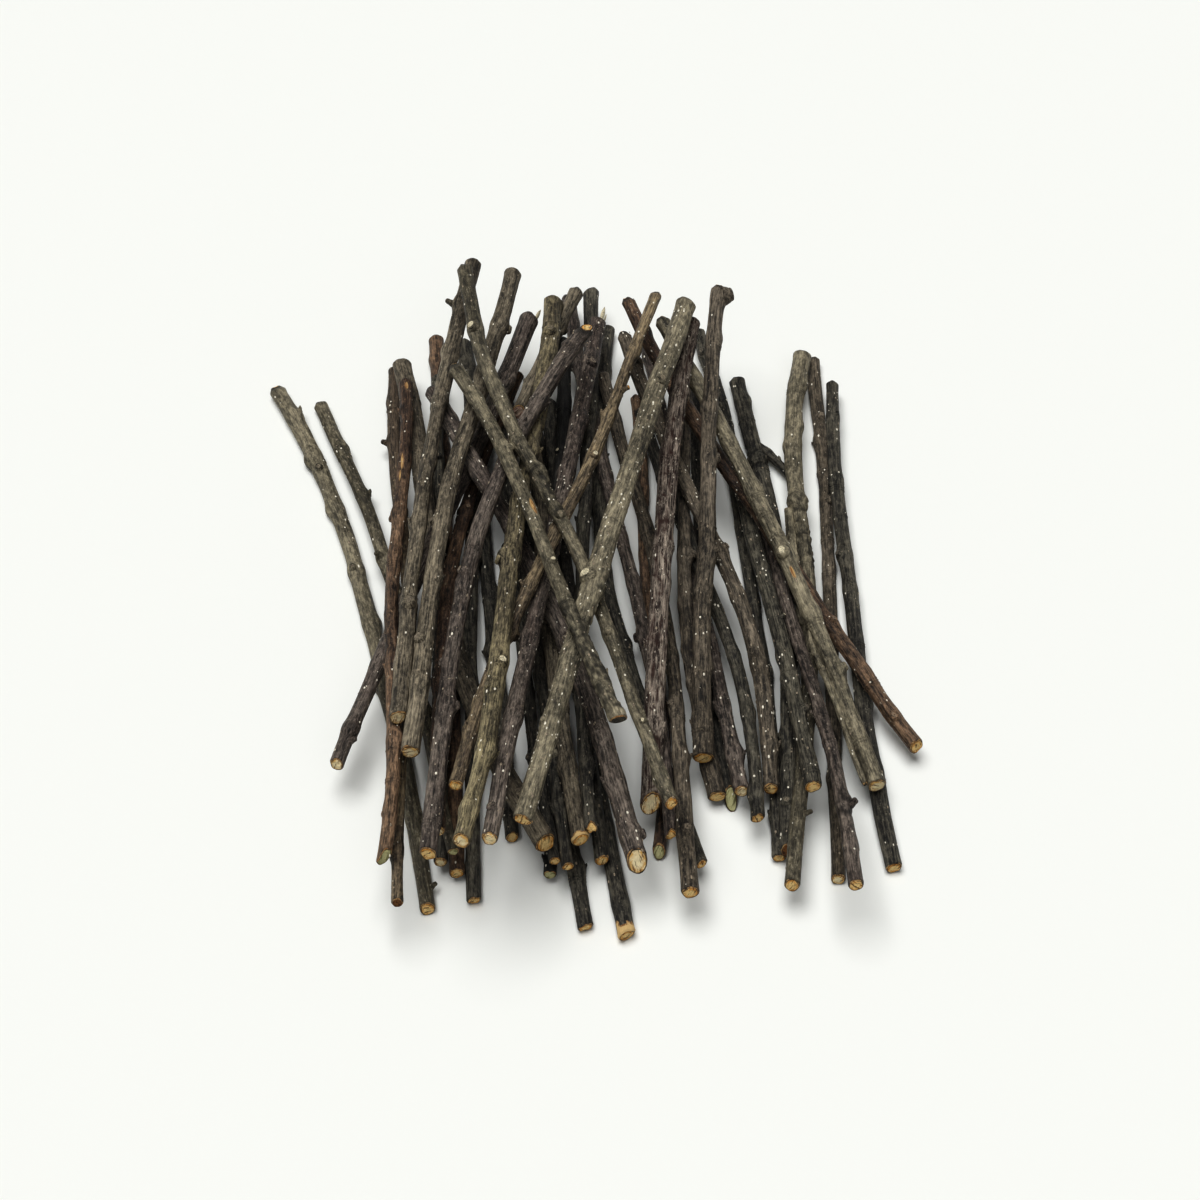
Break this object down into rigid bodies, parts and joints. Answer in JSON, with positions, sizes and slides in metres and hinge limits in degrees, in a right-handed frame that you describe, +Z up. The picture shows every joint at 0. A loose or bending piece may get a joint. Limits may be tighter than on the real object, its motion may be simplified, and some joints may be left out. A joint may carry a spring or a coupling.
{
  "type": "bundle of twigs",
  "caption": "Loose bundle of straight and bent cut twigs with bark in browns, greys and olives, laid roughly parallel and crossing in a low pile.",
  "frame": {"origin": "on the surface that the pile lies on, under the middle of the pile", "axes": "+Y along the twigs, away from a person who looks at the pile; +X to that person's right; +Z up"},
  "size_m": [0.1742, 0.207, 0.0444],
  "materials": {
    "black_bark": "nearly black dry bark, matt",
    "dark_bark": "dark grey-brown dry bark, matt",
    "brown_bark": "brown dry bark, matt",
    "red_bark": "red-brown smooth bark, faint sheen",
    "purple_bark": "purple-brown smooth bark, faint sheen",
    "grey_bark": "grey-brown bark with fine lengthwise wrinkles, matt",
    "olive_bark": "olive-grey smooth bark with pale lenticels",
    "khaki_bark": "khaki bark with lengthwise ridges, matt",
    "tan_bark": "tan smooth bark, faint sheen",
    "scaly_bark": "mauve-brown bark with dark cracks and pale flakes, matt"
  },
  "bodies": {
    "root": {"twig_01_dark": "dark_bark", "twig_02_dark": "dark_bark", "twig_03_dark": "dark_bark", "twig_04_black": "black_bark", "twig_05_dark": "dark_bark", "twig_06_dark": "dark_bark", "twig_07_grey": "grey_bark", "twig_08_dark": "dark_bark", "twig_09_dark": "dark_bark", "twig_10_red": "red_bark", "twig_11_dark": "dark_bark", "twig_12_olive": "olive_bark", "twig_13_olive": "olive_bark", "twig_14_tan": "tan_bark", "twig_15_grey": "grey_bark", "twig_16_red": "red_bark", "twig_17_dark": "dark_bark", "twig_18_dark": "dark_bark", "twig_19_purple": "purple_bark", "twig_20_brown": "brown_bark", "twig_21_dark": "dark_bark", "twig_22_dark": "dark_bark", "twig_23_dark": "dark_bark", "twig_23_dark_branch": "dark_bark", "twig_24_olive": "olive_bark", "twig_24_olive_branch": "olive_bark", "twig_25_purple": "purple_bark", "twig_26_purple": "purple_bark", "twig_27_dark": "dark_bark", "twig_28_brown": "brown_bark", "twig_29_dark": "dark_bark", "twig_30_brown": "brown_bark", "twig_31_brown": "brown_bark", "twig_32_dark": "dark_bark", "twig_33_red": "red_bark", "twig_34_purple": "purple_bark", "twig_35_purple": "purple_bark", "twig_36_red": "red_bark", "twig_37_grey": "grey_bark", "twig_38_red": "red_bark", "twig_39_olive": "olive_bark", "twig_39_olive_branch": "olive_bark", "twig_40_purple": "purple_bark", "twig_41_tan": "tan_bark", "twig_42_grey": "grey_bark", "twig_43_khaki": "khaki_bark", "twig_44_purple": "purple_bark", "twig_45_grey": "grey_bark", "twig_46_scaly": "scaly_bark", "twig_47_brown": "brown_bark", "twig_48_olive": "olive_bark", "twig_49_olive": "olive_bark", "twig_50_olive": "olive_bark"}
  },
  "joints": []
}
